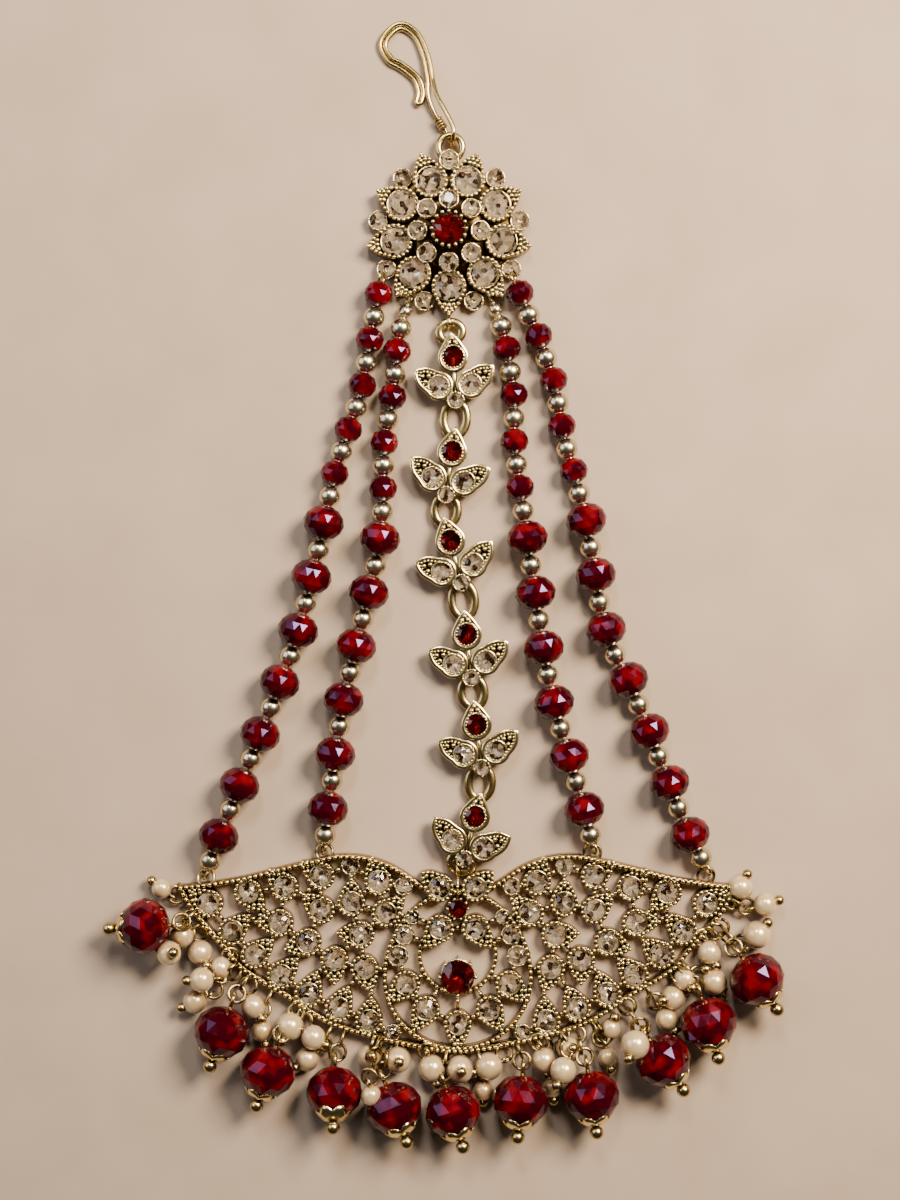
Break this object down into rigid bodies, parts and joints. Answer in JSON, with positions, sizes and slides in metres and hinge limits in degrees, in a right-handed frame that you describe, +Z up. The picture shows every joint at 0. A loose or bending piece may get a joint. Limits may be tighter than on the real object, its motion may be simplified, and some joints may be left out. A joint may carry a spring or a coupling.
{
  "type": "jhoomar side head ornament",
  "caption": "Side head ornament: domed stone rosette with hook, bead strings and a petal-link chain fanning to a pierced stone-set crescent with drops and pearls.",
  "frame": {"origin": "on the rosette's flat back, under its middle stone, on the surface that the ornament lies on", "axes": "+Z up through the stones; +Y from the rosette towards the hook; +X to the right as the face is seen"},
  "size_m": [0.0927, 0.1543, 0.0077],
  "materials": {
    "antique_gilt": "cast, antiqued, pale gilt with dark recesses; settings hold champagne foil-backed stones",
    "red_glass_bead": "faceted translucent deep red glass, with round pale metal beads between",
    "red_cut_stone": "cut and foil-backed",
    "cream_pearl": "pearl lustre on imitation pearls"
  },
  "bodies": {
    "root": {"bead_string_inner_left": "red_glass_bead", "bead_string_inner_right": "red_glass_bead", "bead_string_outer_left": "red_glass_bead", "bead_string_outer_right": "red_glass_bead", "chain_link_1": "antique_gilt", "chain_link_2": "antique_gilt", "chain_link_3": "antique_gilt", "chain_link_4": "antique_gilt", "chain_link_5": "antique_gilt", "chain_link_6": "antique_gilt", "connector_ring_1": "antique_gilt", "connector_ring_2": "antique_gilt", "connector_ring_3": "antique_gilt", "connector_ring_4": "antique_gilt", "connector_ring_5": "antique_gilt", "connector_ring_6": "antique_gilt", "connector_ring_7": "antique_gilt", "crescent_plate": "antique_gilt", "drop_1": "red_glass_bead", "drop_10": "red_glass_bead", "drop_11": "red_glass_bead", "drop_2": "red_glass_bead", "drop_3": "red_glass_bead", "drop_4": "red_glass_bead", "drop_5": "red_glass_bead", "drop_6": "red_glass_bead", "drop_7": "red_glass_bead", "drop_8": "red_glass_bead", "drop_9": "red_glass_bead", "flower_ruby": "red_cut_stone", "hook": "antique_gilt", "medallion_ruby": "red_cut_stone", "pearl_cluster_1": "cream_pearl", "pearl_cluster_2": "cream_pearl", "pearl_cluster_3": "cream_pearl", "pearl_cluster_4": "cream_pearl", "pearl_cluster_5": "cream_pearl", "pearl_cluster_6": "cream_pearl", "rosette": "antique_gilt", "rosette_ruby": "red_cut_stone"}
  },
  "joints": []
}
